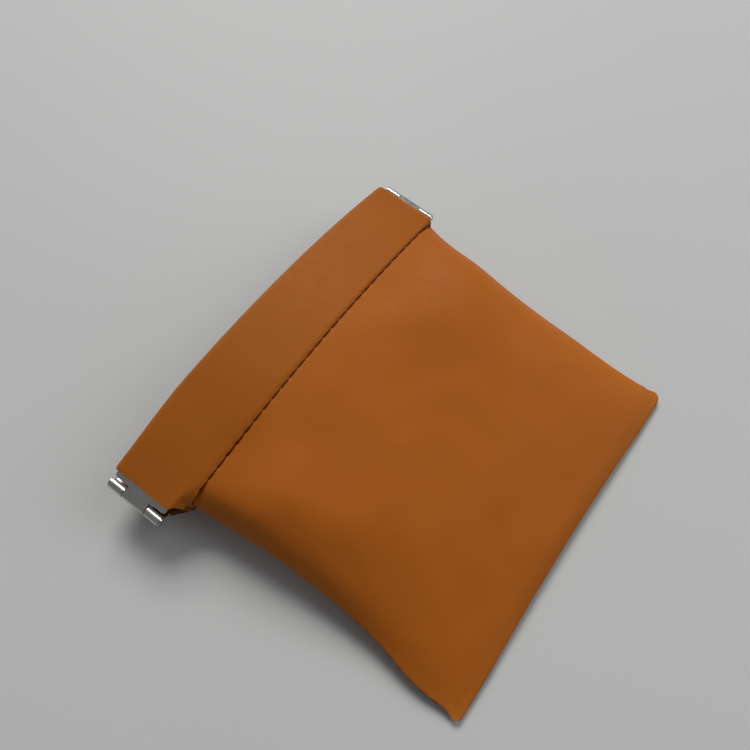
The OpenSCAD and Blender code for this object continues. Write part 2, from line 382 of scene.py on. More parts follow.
def settle_pouch(start, flat):
    """Runs cloth over the pouch, whose contents keep its volume, and returns the settled grid."""
    rows, columns, _ = start.shape
    used, index = pouch_index()
    row_points = to_row(start)
    row_points[..., 2] = np.maximum(row_points[..., 2], 0)
    begin = row_points.reshape(-1, 3)[used] * SIM_SCALE
    faces = []
    for r in range(rows - 1):
        for c in range(columns - 1):
            faces.append((index[r, c], index[r, c + 1], index[r + 1, c + 1], index[r + 1, c]))
    for c in range(columns - 1):
        cap = [index[-1, c], index[-1, c + 1], index[0, c + 1], index[0, c]]
        faces.append(tuple(dict.fromkeys(cap)))
    faces = [tuple(int(i) for i in face) for face in faces]
    bag = sim_object("pouch_sim", begin, faces)
    bag.shape_key_add(name="Basis")
    flat_key = bag.shape_key_add(name="flat")
    flat_key.data.foreach_set("co", (flat.reshape(-1, 3)[used] * SIM_SCALE).astype(np.float32).ravel())
    flat_key.value = 0
    held = bag.vertex_groups.new(name="held")
    held.add([int(i) for i in np.unique(index[[0, -1]])], 1.0, "REPLACE")

    corners = [(-1, -1), (1, -1), (1, 1), (-1, 1)]
    table_points = np.array([[TABLE_HALF * x, TABLE_HALF * y, -TABLE_DROP] for x, y in corners])
    table = sim_object("table_sim", table_points, [(0, 1, 2, 3)])
    table.modifiers.new("Collision", "COLLISION")
    table.collision.thickness_outer = 0.002
    table.collision.cloth_friction = 2

    cloth = bag.modifiers.new("Cloth", "CLOTH")
    settings = cloth.settings
    for key, value in CLOTH.items():
        setattr(settings, key, value)
    settings.vertex_group_mass = "held"
    settings.rest_shape_key = flat_key
    settings.effector_weights.gravity = 0.1
    cloth.collision_settings.distance_min = 0.002
    cloth.collision_settings.collision_quality = 3
    cloth.point_cache.frame_start = 1
    cloth.point_cache.frame_end = SIM_FRAMES

    scene = bpy.context.scene
    for number in range(1, SIM_FRAMES + 1):
        scene.frame_set(number)
    settled = bag.evaluated_get(bpy.context.evaluated_depsgraph_get()).data
    points = np.array([v.co for v in settled.vertices])
    for obj in (bag, table):
        bpy.data.objects.remove(obj)
    scene.frame_set(1)

    move = points - begin
    distance = np.linalg.norm(move, axis=1, keepdims=True)
    cap = SIM_REACH * SIM_SCALE
    move *= np.minimum(1, cap / np.maximum(distance, 1e-9))
    return to_lean(((begin + move) / SIM_SCALE)[index])


start_grid, flat_grid = pouch_grids()
pouch_coarse = settle_pouch(start_grid, flat_grid)

FOLD_SOFTEN = 8          # passes that round the fold
FOLD_ROWS = 2            # simulated rows on each side of the fold that they change
SKIN_SOFTEN = 3          # passes that smooth the whole simulated skin
SEAM_LIP = 1.8           # width of the lip that rolls into a side seam
SEAM_TUCK = 1.1          # how far the seam line is pulled in between its lips
SEAM_FADE = 5.0          # the lips fade out over this length from a bottom corner
TUCK_U = (0.3, 0.7, 1.1, 1.5)    # the pouch's edge runs on inside the casing, past the stitch line
TUCK_INSET = 0.3
TUCK_T = 0.3             # and is thinned there
HOLE_R = 0.5             # dimple round a needle hole
HOLE_DEPTH = 0.22
LAP_ROWS = 8             # the bottom fold runs on under the two faces
LAP_GAP = 0.1
LAP_T = 0.3
LAP_TAPER = (1.0, 6.0)   # these laps narrow to nothing near the side seams
FOLD_PIECE_U = 2.6       # the bottom fold's own piece reaches this far up both faces
GUSSET_IN = 3.0          # the side seams' turned-in leather lies this far in from them at the fold
GUSSET_SLOPE = 0.107     # and farther in by this share of the height
GUSSET_U = (8.0, 32.0)   # it starts here over the fold and is full by here
GUSSET_TOP = 3.0         # it stops this far below the stitch line
GUSSET_W = 1.4           # it reaches this far from the middle plane
GUSSET_SPREAD = 48.0     # or this over the height
GUSSET_T = 0.4
SEAM_RUB = (0.7, 2.2)    # wear along the side seams: strength and reach
FOLD_RUB = (0.5, 2.0)    # and along the bottom fold
NO_LAP = 0.03            # share of its width that a lap keeps where it has narrowed to nothing


def soften(grid, passes, weight, along_rows):
    """Averages each inner point with its neighbours, along the rows' direction or across it."""
    grid = grid.copy() if along_rows else grid.swapaxes(0, 1).copy()
    weight = weight if along_rows else weight.swapaxes(0, 1)
    for _ in range(passes):
        mean = (grid[:-2] + grid[2:]) / 2
        grid[1:-1] += 0.5 * weight[1:-1] * (mean - grid[1:-1])
    return grid if along_rows else grid.swapaxes(0, 1)


def steps_between(low, high, step):
    """Evenly spaced values from low up to, and without, high."""
    return np.linspace(low, high, max(1, round((high - low) / step)), endpoint=False)


def mirrored(half):
    """Values from 0 up to, and without, 1, carried on to 2 as their own mirror image."""
    return np.concatenate([half, [1.0], 2 - half[::-1]])


def needle_dimples(lean, normals):
    """Moves points in round the needle holes of the two stitch lines."""
    angles = stitch_angles()
    holes = np.append(angles - STITCH_PITCH / BOW_R / 2, angles[-1] + STITCH_PITCH / BOW_R / 2)
    x, u, w = np.moveaxis(lean, -1, 0)
    angle = np.arcsin(np.clip(x / BOW_R, -1, 1))
    nearest = np.abs(angle[..., None] - holes).min(-1) * BOW_R
    distance = np.hypot(nearest, u - stitch_u(x))
    depth = HOLE_DEPTH * np.exp(-(distance / HOLE_R) ** 2) * smoothstep(0.4, 1.6, np.abs(w))
    return lean - normals * (depth + dent(lean))[..., None]


def pouch_surface():
    """Outer surface of the pouch, in lean coordinates: a fine grid with its middle column at x 0."""
    grid = pouch_coarse
    everywhere = np.ones(grid.shape[:2] + (1,))
    near_fold = np.clip(1 - np.abs(np.arange(len(grid)) - POUCH_ROWS) / (FOLD_ROWS + 1), 0, 1)
    near_fold = everywhere * near_fold[:, None, None]
    grid = soften(grid, SKIN_SOFTEN, everywhere - near_fold, True)
    grid = soften(grid, SKIN_SOFTEN, everywhere, False)
    rounded = soften(grid, FOLD_SOFTEN, near_fold, True)
    across = rounded[..., 0] / np.abs(rounded[:, (0, -1), 0]).mean()
    bulge = by_side(across, CORNER_FLARE) * np.exp(-((rounded[..., 1] - FLARE_U[0]) / FLARE_U[1]) ** 2)
    rounded[..., 0] += bulge * across**3
    hollow = FOLD_HOLLOW * (1 - (rounded[..., 0] / BOTTOM_X) ** 2) - 0.5
    lost = rounded[POUCH_ROWS, :, 1] + FOLD_R - np.clip(hollow[POUCH_ROWS], 0, None)
    rounded[..., 1] -= lost * near_fold[..., 0]
    grid = rounded

    length = STITCH_U + FOLD_R
    half_rows = np.concatenate([steps_between(0, EDGE_RUN / length, EDGE_ROW / length),
                                steps_between(EDGE_RUN / length, 1, FACE_ROW / length)])
    half_columns = np.concatenate([steps_between(0, EDGE_RUN / SEAM_X, EDGE_COLUMN / SEAM_X),
                                   steps_between(EDGE_RUN / SEAM_X, 1, GRID_STEP / SEAM_X)])
    fine = resample(grid, mirrored(half_rows) * POUCH_ROWS, mirrored(half_columns) * POUCH_COLUMNS / 2)
    middle = fine.shape[1] // 2
    fine[:, middle, 0] = 0
    return round_corners(fine)


def round_corners(lean):
    """Rounds the bottom corners, seen from the front, by moving the points near them."""
    lean = lean.copy()
    fold = lean[lean.shape[0] // 2]
    for side, edge in ((LEFT, 0), (RIGHT, -1)):
        radius = CORNER_R[side]
        low = fold[edge, 1]
        limit = lean[:, edge, None, 0]
        across = np.clip(1 - side * (limit - lean[..., 0]) / radius, 0, 1)
        down = np.clip(1 - (lean[..., 1] - low) / radius, 0, 1)
        lean[..., 0] -= side * radius * across * (1 - np.sqrt(1 - down**2 / 2))
        lean[..., 1] += radius * down * (1 - np.sqrt(1 - across**2 / 2))
    return lean


def roll_seam_lips(lean):
    """Rolls the faces into a turned seam at each side: round lips, with the seam line sunk between."""
    lean = lean.copy()
    for edge, inward in ((0, 1), (-1, -1)):
        seam = lean[:, edge]
        distance = np.linalg.norm(lean - seam[:, None], axis=-1)
        near = np.clip(1 - distance / SEAM_LIP, 0, 1)
        above_corner = smoothstep(-FOLD_R, SEAM_FADE - FOLD_R, seam[:, 1])[:, None]
        lean[..., 0] += inward * SEAM_TUCK * near**2 * above_corner
    return lean


def add_tuck(lean):
    """Runs the pouch's top edges on inside the casings."""
    runs = []
    for row, face in ((lean[0], BACK), (lean[-1], FRONT)):
        rows = []
        for step in TUCK_U:
            angle = row[:, 0] / (BOW_R + VALLEY)
            tucked = row + [0, step, 0]
            tucked[:, 2] -= face * min(TUCK_INSET, step) * np.cos(angle)
            tucked[:, 0] *= 1 - 0.02 * step / TUCK_U[-1]
            rows.append(tucked)
        runs.append(np.array(rows))
    return np.concatenate([runs[0][::-1], lean, runs[1]])


def build_pouch():
    """The pouch as five closed sheets: two halves of each face, and the bottom fold between them."""
    lean = add_tuck(roll_seam_lips(pouch_surface()))
    lean = needle_dimples(lean, grid_normals(lean))
    row = to_row(lean)
    row[..., 2] = smooth_floor(row[..., 2])
    normals = grid_normals(row)
    columns = row.shape[1]
    middle = columns // 2
    seam_distance = np.minimum(*(np.linalg.norm(row - row[:, edge, None], axis=-1) for edge in (0, -1)))
    room = room_inside(row, normals)
    thickness = np.minimum(LEATHER_T, room)
    for k in range(len(TUCK_U)):
        thickness[[k, -1 - k]] = np.minimum(thickness[[k, -1 - k]], TUCK_T)
    inner = row - normals * thickness[..., None]
    rub = SEAM_RUB[0] * np.exp(-(seam_distance / SEAM_RUB[1]) ** 2)
    rub += FOLD_RUB[0] * np.exp(-((lean[..., 1] + FOLD_R) / FOLD_RUB[1]) ** 2)
    u = lean[:, middle, 1]
    fold_row = len(TUCK_U) + (row.shape[0] - 2 * len(TUCK_U)) // 2
    back_end = fold_row - int((u[fold_row:0:-1] < FOLD_PIECE_U).sum())
    front_end = fold_row + int((u[fold_row:-1] < FOLD_PIECE_U).sum())

    spans = {BACK: slice(0, back_end + 1), FRONT: slice(front_end, row.shape[0])}
    halves = {LEFT: slice(0, middle + 1), RIGHT: slice(middle, columns)}
    for face, rows in spans.items():
        for side, cols in halves.items():
            name = f"pouch_{FACE_NAMES[face]}_{SIDE_NAMES[side]}_leather"
            piece = sheet(name, row[rows, cols], inner[rows, cols], normals[rows, cols],
                          rub[rows, cols], LEATHER)
            bend_at_crease(piece, face, side)

    # The fold's own piece, whose laps run on under both faces
    lap_outer = row - normals * np.minimum(LEATHER_T + LAP_GAP, room)[..., None]
    lap_inner = row - normals * np.minimum(LEATHER_T + LAP_GAP + LAP_T, 1.1 * room)[..., None]
    outside, inside = row.copy(), inner.copy()
    taper = np.maximum(smoothstep(*LAP_TAPER, seam_distance), NO_LAP)[..., None]
    for lap_rows, edge in ((slice(0, back_end), back_end), (slice(front_end + 1, None), front_end)):
        outside[lap_rows] = row[edge] + taper[edge] * (lap_outer[lap_rows] - row[edge])
        inside[lap_rows] = inner[edge] + taper[edge] * (lap_inner[lap_rows] - inner[edge])
    rows = slice(back_end - LAP_ROWS, front_end + LAP_ROWS + 1)
    piece = sheet("pouch_bottom_leather", outside[rows], inside[rows], normals[rows], rub[rows], LEATHER)
    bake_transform(piece)
    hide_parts("bottom_fold")
    return lean


def bend_at_crease(piece, face, side):
    """Bakes the transform of half of a face into its mesh and hides the CAD panel parts that it stands in
    for.
    """
    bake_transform(piece)
    panel = f"{FACE_NAMES[face]}_panel"
    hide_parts(f"{panel}_{SIDE_NAMES[side]}", f"{panel}_center")


def build_gussets(lean):
    """The leather turned in along each side seam, across the gap between the two faces."""
    rows = lean[len(TUCK_U) + 1:(len(lean) - 1) // 2]
    for side, edge in ((LEFT, 0), (RIGHT, -1)):
        x, u, _ = rows[:, edge].T
        inside = (u > GUSSET_U[0]) & (u < STITCH_U - GUSSET_TOP)
        x, u = x[inside], u[inside]
        reach = np.minimum(GUSSET_W, GUSSET_SPREAD / u) * smoothstep(*GUSSET_U, u)
        x = x - side * (GUSSET_IN + GUSSET_SLOPE * u)
        share = np.linspace(-1, 1, 9)
        middle = np.stack([x[:, None] + 0 * share, u[:, None] + 0 * share, reach[:, None] * share], -1)
        away = np.broadcast_to(np.array([side, 0.0, 0.0]), middle.shape)
        outer, inner = (to_row(middle + sign * GUSSET_T / 2 * away) for sign in (1, -1))
        if side == LEFT:
            outer, inner, away = outer[:, ::-1], inner[:, ::-1], away[:, ::-1]
        rub = np.zeros(middle.shape[:2])
        piece = sheet(f"{SIDE_NAMES[side]}_seam_gusset_leather", outer, inner, away, rub, LEATHER)
        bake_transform(piece)
        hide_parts(f"front_panel_{SIDE_NAMES[side]}", f"back_panel_{SIDE_NAMES[side]}")


def room_inside(row, normals):
    """Leather thickness that fits at each point between the two faces, whose rows mirror each other."""
    gap = np.linalg.norm(row - row[::-1], axis=-1)
    turn = np.linalg.norm(normals - normals[::-1], axis=-1)
    radius = gap / np.maximum(turn, 1e-6)
    fold_row = len(row) // 2
    radius[fold_row] = radius[fold_row - 1]
    return np.maximum(0.85 * radius, 0.03)


def smooth_floor(z):
    """Keeps heights above the surface that the purse rests on, with a soft turn into contact."""
    soft = 0.25
    return soft * (np.logaddexp(0, z / soft) - math.log(2) * np.exp(-np.abs(z) / soft))


# ---- casings

FLAP_U = 2.4             # the turned-in leather reaches this far below the stitch line
FLAP_GAP = 0.2
NOTCH_RUN = 1.8          # below the strip, the casing's ends curve in to the side seams
NOTCH_OVER = 0.3         # and past them by this much
NOTCH_SLANT = 1.5        # and the flap's ends are cut back by this much a millimetre
NOTCH_SPAN = (0.75, 1)   # share of the half mouth over which the ends' points move for that
FLAT_SPAN = (0.7, 0.97)  # share over which the flap flattens
FLAT_SHARE = 0.85
SLOT_LOW = STRIP_U[0] - 0.4
END_ROUND = 0.22


def casing_section():
    """Outer loop and slot loop of a casing's section, as matching rows of (u, offset)."""
    rim_r = (OUTER - INNER) / 2
    rim_u = RIM_U - rim_r
    slot_low, slot_high = SLOT_LOW, RIM_U - LEATHER_T
    slot_r = STRIP_ROOM / 2

    outside_u = np.concatenate([STITCH_U + np.linspace(0, 4, 17),
                                np.linspace(STITCH_U + 4.8, rim_u, 18)])
    outside = np.stack([outside_u, valley(outside_u)], -1)
    share = (outside_u - STITCH_U) / (rim_u - STITCH_U)
    slot_outside = np.stack([slot_low + (slot_high - slot_low) * share, slot_r + 0 * share], -1)

    turn = np.linspace(math.pi / 2, -math.pi / 2, 15)[1:-1]
    rim = np.stack([rim_u + rim_r * np.cos(turn), (OUTER + INNER) / 2 + rim_r * np.sin(turn)], -1)
    slot_rim = np.stack([slot_high + 0 * turn, slot_r * np.sin(turn)], -1)

    inside_u = outside_u[::-1]
    inside = np.stack([inside_u, INNER + 0.3 * np.exp(-((inside_u - STITCH_U) / VALLEY_WIDTH) ** 2)], -1)
    slot_inside = slot_outside[::-1] * [1, -1]

    under = VALLEY - LEATHER_T - FLAP_GAP
    low = STITCH_U - FLAP_U
    flap = [(STITCH_U - 0.9, INNER + 0.2), (low + 0.15, INNER), (low, INNER + 0.15), (low, under - 0.15),
            (low + 0.15, under), (STITCH_U - 0.9, under), (STITCH_U - 0.15, under), (STITCH_U - 0.05, 0.1),
            (STITCH_U - 0.02, VALLEY - 0.25)]
    slot_flap = [(slot_low, r) for r in np.linspace(-slot_r, slot_r, len(flap) + 2)[1:-1]]
    outer = np.concatenate([outside, rim, inside, flap])
    slot = np.concatenate([slot_outside, slot_rim, slot_inside, slot_flap])
    return outer, slot


def valley(u):
    """Offset of the casing's outer surface, which dips along the stitch line."""
    return OUTER - VALLEY_DEPTH * np.exp(-((u - STITCH_U) / VALLEY_WIDTH) ** 2)


def notch(u, side):
    """How far an end of the casing is cut back at u: nothing beside the strip, more below it."""
    reach = abs(CASING_X[side]) - TOP_HALF[side] + NOTCH_OVER
    depth = np.clip(SLOT_LOW - u, 0, None)
    cut = reach * (1 - np.exp(-depth / NOTCH_RUN))
    return cut + NOTCH_SLANT * np.clip(STITCH_U - u, 0, None)


def casing_points(section, angles, ends, face):
    """Lean points of one loop carried along the arc: rows follow the loop, columns the mouth."""
    u, offset = section[:, 0, None], section[:, 1, None]
    angle = np.broadcast_to(angles, (len(section), len(angles))).copy()
    flat = np.ones(angle.shape)
    for side, limit in ends.items():
        share = smoothstep(*NOTCH_SPAN, angle / limit)
        flat = flat * (1 - FLAT_SHARE * smoothstep(*FLAT_SPAN, angle / limit) * np.clip(STITCH_U - u, 0, 1))
        angle -= share * side * notch(u, side) / BOW_R
    x = (BOW_R + offset) * np.sin(angle)
    w = (BOW_R + offset) * np.cos(angle) - BOW_DROP
    seam_x = by_side(x, TOP_HALF)
    inside_x = np.clip(x, -seam_x, seam_x)
    drop = bow_w(inside_x, VALLEY) - top_curve(inside_x)
    w = w - drop * (1 - smoothstep(STITCH_U, SLOT_LOW, u))
    w = np.maximum(w * flat, 0.08 + 0.2 * (offset - INNER))
    lift = stitch_u(x) - STITCH_U
    u = u + lift * np.clip((SLOT_LOW - u) / (SLOT_LOW - STITCH_U), 0, 1)
    near_left = smoothstep(CASING_X[LEFT] / 2, CASING_X[LEFT], x)
    u = u - RIM_DROP * near_left * smoothstep(STRIP_U[0], RIM_U, u)
    return np.stack([x, u, face * w], -1)


def build_casing(face):
    """One casing as two closed halves of leather, each a tube with open slot ends."""
    outer_loop, slot_loop = casing_section()
    ends = {side: math.asin(CASING_X[side] / BOW_R) for side in (LEFT, RIGHT)}
    steps = {side: round(abs(ends[side]) * BOW_R / GRID_STEP) for side in ends}
    angles = np.concatenate([np.linspace(ends[LEFT], 0, steps[LEFT], endpoint=False),
                             np.linspace(0, ends[RIGHT], steps[RIGHT] + 1)])
    middle = steps[LEFT]
    outer = casing_points(outer_loop, angles, ends, face)
    slot = casing_points(slot_loop, angles, ends, face)
    normals = grid_normals(outer, wrap=True) * face
    outer = needle_dimples(outer, normals)
    for column in (0, -1):
        centre = (outer[:, column] + slot[:, column]) / 2
        shift = centre - outer[:, column]
        length = np.maximum(np.linalg.norm(shift, axis=-1, keepdims=True), 1e-6)
        outer[:, column] += shift / length * np.minimum(END_ROUND, length / 2)
    outer, slot = to_row(outer), to_row(slot)
    normals = grid_normals(outer, wrap=True) * face
    slot_normals = -grid_normals(slot, wrap=True) * face
    rim_distance = np.abs(RIM_U - outer_loop[:, 0, None])
    end_distance = np.minimum(np.abs(angles - ends[LEFT]), np.abs(angles - ends[RIGHT])) * BOW_R
    rub = np.maximum(np.exp(-(rim_distance / 0.9) ** 2), np.exp(-(end_distance / 0.7) ** 2)) * 0.8

    for side, cols in ((LEFT, slice(0, middle + 1)), (RIGHT, slice(middle, None))):
        parts = [part[:, cols] for part in (outer, slot, normals, slot_normals, rub)]
        name = f"{FACE_NAMES[face]}_casing_{SIDE_NAMES[side]}_leather"
        piece = tube(name, *parts, flip=face == BACK, materials=CASING_LEATHER_PAINTED_SHADE)
        bend_across(piece)
        node = f"{FACE_NAMES[face]}_casing"
        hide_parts(f"{node}_{SIDE_NAMES[side]}", f"{node}_center")


def bend_across(piece):
    """Bakes the transform of a piece of a casing, or of its stitching, into its mesh."""
    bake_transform(piece)


def tube(name, outer, slot, outer_normals, slot_normals, rub, flip, materials):
    """A closed tube of leather: face 0 outside, 1 inside the slot, 2 the cut ends."""
    loop, columns, _ = outer.shape
    count = loop * columns
    faces = quads(loop, columns, wrap=True, flip=flip)
    faces += quads(loop, columns, first=count, wrap=True, flip=not flip)
    slots = [0] * (len(faces) // 2) + [1] * (len(faces) // 2)
    points = [outer.reshape(-1, 3), slot.reshape(-1, 3)]
    normals = [outer_normals.reshape(-1, 3), slot_normals.reshape(-1, 3)]
    start = 2 * count
    for column, outward in ((0, -1), (columns - 1, 1)):
        points += [outer[:, column], slot[:, column]]
        away = outer[:, column] - outer[:, column - outward]
        away = away.mean(0) / np.linalg.norm(away.mean(0))
        normals += [np.tile(away, (2 * loop, 1))]
        for k in range(loop):
            n = (k + 1) % loop
            end_face = (start + k, start + n, start + loop + n, start + loop + k)
            faces.append(end_face if (outward < 0) != flip else end_face[::-1])
            slots.append(2)
        start += 2 * loop
    wear = np.concatenate([rub.ravel(), np.zeros(start - count)])
    obj = make_mesh(name, np.concatenate(points), faces, slots, np.concatenate(normals), wear)
    for material in materials:
        obj.data.materials.append(material)
    return obj


# ---- stitching

PLY_R = 0.13             # radius of one of the two plies twisted into a thread
PLY_OFFSET = 0.085
PLY_TURNS = 2.0
PLY_SIDES = 7
PLY_STEPS = 16
HOLE_TO_HOLE = 0.94      # length of a casing's stitch, as a share of the pitch
THREAD_LIFT = 0.1        # its middle line over the bottom of the valley
CASING_DIP = 0.55        # how far a stitch's ends sink into their holes
SEAM_DIP = 0.4


def thread_path(start, end, out, dip):
    """Middle line of one stitch between two needle holes, sunk at both ends."""
    t = np.linspace(0, 1, PLY_STEPS)[:, None]
    arch = np.clip(np.sin(math.pi * t), 0, None) ** 0.45
    return start + (end - start) * t + out * (dip * (arch - 1))


def ply_tube(path, out, phase, radius):
    """Points and faces of one ply wound round a stitch's middle line."""
    tangent = np.gradient(path, axis=0)
    tangent /= np.linalg.norm(tangent, axis=1, keepdims=True)
    side = np.cross(tangent, out)
    side /= np.linalg.norm(side, axis=1, keepdims=True)
    up = np.cross(side, tangent)
    turn = phase + 2 * math.pi * PLY_TURNS * np.linspace(0, 1, len(path))[:, None]
    centre = path + PLY_OFFSET * (np.cos(turn) * side + np.sin(turn) * up)
    rings = []
    for k in range(PLY_SIDES):
        a = 2 * math.pi * k / PLY_SIDES
        rings.append(centre + radius * (math.cos(a) * side + math.sin(a) * up))
    points = np.stack(rings, 1).reshape(-1, 3)
    faces = []
    for ring in range(0, (len(path) - 1) * PLY_SIDES, PLY_SIDES):
        following = ring + PLY_SIDES
        for k in range(PLY_SIDES):
            n = (k + 1) % PLY_SIDES
            faces.append((ring + k, ring + n, following + n, following + k))
    faces.append(tuple(range(PLY_SIDES))[::-1])
    faces.append(tuple((len(path) - 1) * PLY_SIDES + k for k in range(PLY_SIDES)))
    return points, faces


def thread_piece(name, stitches, node_names):
    """One object from a list of (start, end, out, dip) stitches in row-frame millimetres."""
    points, faces = [], []
    count = 0
    for start, end, out, dip in stitches:
        path = thread_path(start, end, out, dip)
        for phase in (0, math.pi):
            ply_points, ply_faces = ply_tube(path, out, phase, PLY_R)
            points.append(ply_points)
            faces += [tuple(count + i for i in face) for face in ply_faces]
            count += len(ply_points)
    piece = make_mesh(name, np.concatenate(points), faces, [0] * len(faces))
    piece.data.materials.append(THREAD)
    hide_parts(*node_names)
    return piece


def build_casing_stitches(face):
    half = STITCH_PITCH / BOW_R / 2 * HOLE_TO_HOLE
    radius = BOW_R + VALLEY + THREAD_LIFT
    for side in (LEFT, RIGHT):
        stitches = []
        for angle in stitch_angles():
            if (angle >= 0) != (side == RIGHT):
                continue
            ends = []
            for a in (angle - half, angle + half):
                x = radius * math.sin(a)
                w = top_curve(np.clip(x, -TOP_HALF[LEFT], TOP_HALF[RIGHT])) + THREAD_LIFT
                end = np.array([x, stitch_u(x), face * w])
                ends.append(end - [0, 0, dent(end)])
            if max(abs(e[0]) for e in ends) > TOP_HALF[side]:
                continue
            run = ends[1] - ends[0]
            out = face * unit(np.array([-face * run[2], 0, run[0]]))
            out_row = to_row(out) - to_row(np.zeros(3))
            stitches.append((to_row(ends[0]), to_row(ends[1]), out_row, CASING_DIP))
        name = f"{FACE_NAMES[face]}_stitching"
        piece = thread_piece(f"{name}_{SIDE_NAMES[side]}_thread", stitches,
                             [f"{name}_{SIDE_NAMES[side]}", f"{name}_center"])
        bend_across(piece)


def build_seam_stitches(lean):
    """Lock stitches at the bottom of each side seam's valley, seen only where the lips part."""
    first, last = len(TUCK_U), (len(lean) - 1) // 2
    for side, edge, inward in ((LEFT, 0, 1), (RIGHT, -1, -1)):
        line = to_row(lean[first:last, edge])
        length = np.concatenate([[0], np.cumsum(np.linalg.norm(np.diff(line, axis=0), axis=1))])
        count = int(length[-1] // STITCH_PITCH) - 1
        out = np.array([-inward, 0.0, 0.0])
        stitches = []
        for k in range(count):
            span = (k + 0.5) * STITCH_PITCH + np.array([0.0, STITCH_LEN])
            ends = [np.array([np.interp(s, length, line[:, axis]) for axis in range(3)]) for s in span]
            stitches.append((ends[0], ends[1], out, SEAM_DIP))
        name = f"{SIDE_NAMES[side]}_seam_stitching"
        piece = thread_piece(f"{name}_thread", stitches, [name])
        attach(piece, f"pouch_back_{SIDE_NAMES[side]}")


# ---- materials


class Nodes:
    """Builds a material's node tree with short calls."""

    def __init__(self, name):
        self.material = bpy.data.materials.new(name)
        self.material.use_nodes = True
        self.tree = self.material.node_tree
        self.shader = self.tree.nodes["Principled BSDF"]
        self.place = self.add("ShaderNodeTexCoord").outputs["Object"]

    def add(self, kind, inputs=None, **settings):
        node = self.tree.nodes.new(kind)
        for key, value in settings.items():
            setattr(node, key, value)
        for key, value in (inputs or {}).items():
            self.put(node.inputs[key], value)
        return node

    def put(self, socket, value):
        if isinstance(value, bpy.types.NodeSocket):
            self.tree.links.new(value, socket)
        else:
            socket.default_value = value

    def set(self, **inputs):
        for key, value in inputs.items():
            self.put(self.shader.inputs[key.replace("_", " ")], value)

    def noise(self, scale, detail=2.0, roughness=0.5, place=None):
        node = self.add("ShaderNodeTexNoise", {"Vector": place or self.place, "Scale": scale,
                                                "Detail": detail, "Roughness": roughness})
        return node.outputs["Fac"]

    def ramp(self, value, low, high, out_low=0.0, out_high=1.0):
        node = self.add("ShaderNodeMapRange", {"Value": value, "From Min": low, "From Max": high,
                                                "To Min": out_low, "To Max": out_high})
        return node.outputs["Result"]

    def mix(self, share, a, b):
        node = self.add("ShaderNodeMix", data_type="RGBA")
        self.put(node.inputs["Factor"], share)
        self.put(node.inputs[6], a)
        self.put(node.inputs[7], b)
        return node.outputs[2]

    def math(self, operation, a, b):
        node = self.add("ShaderNodeMath", operation=operation)
        self.put(node.inputs[0], a)
        self.put(node.inputs[1], b)
        return node.outputs[0]

    def bump(self, height, distance, strength=1.0, normal=None):
        node = self.add("ShaderNodeBump", {"Height": height, "Distance": distance, "Strength": strength})
        if normal is not None:
            self.put(node.inputs["Normal"], normal)
        return node.outputs["Normal"]

    def rub(self):
        return self.add("ShaderNodeAttribute", attribute_name="rub").outputs["Fac"]


LEATHER_COLOUR = (0.40, 0.110, 0.012, 1)
LEATHER_DEEP = (0.36, 0.095, 0.009, 1)
LEATHER_WORN = (0.47, 0.150, 0.024, 1)


def outer_leather(name, tone):
    """Smooth tan leather: fine pebble, a soft sheen, slow colour drift and paler worn edges."""
    n = Nodes(name)
    drift = n.ramp(n.noise(28, 3), 0.35, 0.65)
    # tone below 1 darkens this copy of the leather, which paints shade onto it
    colour = n.mix(drift, *([*(tone * c for c in full[:3]), 1] for full in (LEATHER_DEEP, LEATHER_COLOUR)))
    speckle = n.ramp(n.noise(1400, 3, 0.6), 0.3, 0.7, 0.0, 0.12)
    colour = n.mix(speckle, colour, LEATHER_DEEP)
    patchy = n.ramp(n.noise(500, 3, 0.6), 0.35, 0.65, 0.25, 0.75)
    colour = n.mix(n.math("MULTIPLY", n.rub(), patchy), colour, LEATHER_WORN)
    pebble = n.add("ShaderNodeTexVoronoi", {"Vector": n.place, "Scale": 2300.0, "Randomness": 1.0},
                   feature="SMOOTH_F1").outputs["Distance"]
    grain = n.math("ADD", n.math("MULTIPLY", pebble, 0.6), n.noise(5200, 2))
    normal = n.bump(n.noise(90, 1), 0.00004, 0.3)
    normal = n.bump(grain, 0.000025, 0.6, normal)
    rough = n.ramp(n.noise(420, 3), 0.3, 0.7, 0.48, 0.58)
    n.set(Base_Color=colour, Roughness=rough, Normal=normal, Specular_IOR_Level=0.15,
          Specular_Tint=(1, 0.7, 0.45, 1), Sheen_Weight=0.03, Sheen_Roughness=0.5,
          Sheen_Tint=(1, 0.5, 0.2, 1))
    return n.material


def leather_backing():
    """Inside of the leather: a brushed tan knit."""
    n = Nodes("leather_backing")
    warp, weft = (n.add("ShaderNodeTexWave", {"Vector": n.place, "Scale": 700.0, "Distortion": 1.5},
                        bands_direction=direction).outputs["Fac"] for direction in "XY")
    knit = n.math("MULTIPLY", warp, weft)
    fuzz = n.noise(2600, 3)
    colour = n.mix(n.ramp(fuzz, 0.3, 0.7), (0.16, 0.07, 0.028, 1), (0.27, 0.13, 0.055, 1))
    normal = n.bump(n.math("ADD", knit, fuzz), 0.00008, 0.7)
    n.set(Base_Color=colour, Roughness=0.95, Normal=normal, Specular_IOR_Level=0.1, Sheen_Weight=0.4,
          Sheen_Roughness=0.6)
    return n.material


def leather_edge():
    """Cut edge of the leather: fibrous and darker."""
    n = Nodes("leather_edge")
    fibre = n.noise(3000, 4, 0.7)
    colour = n.mix(n.ramp(fibre, 0.3, 0.7), (0.10, 0.032, 0.01, 1), (0.24, 0.085, 0.026, 1))
    n.set(Base_Color=colour, Roughness=0.85, Normal=n.bump(fibre, 0.00006, 0.8), Specular_IOR_Level=0.2)
    return n.material


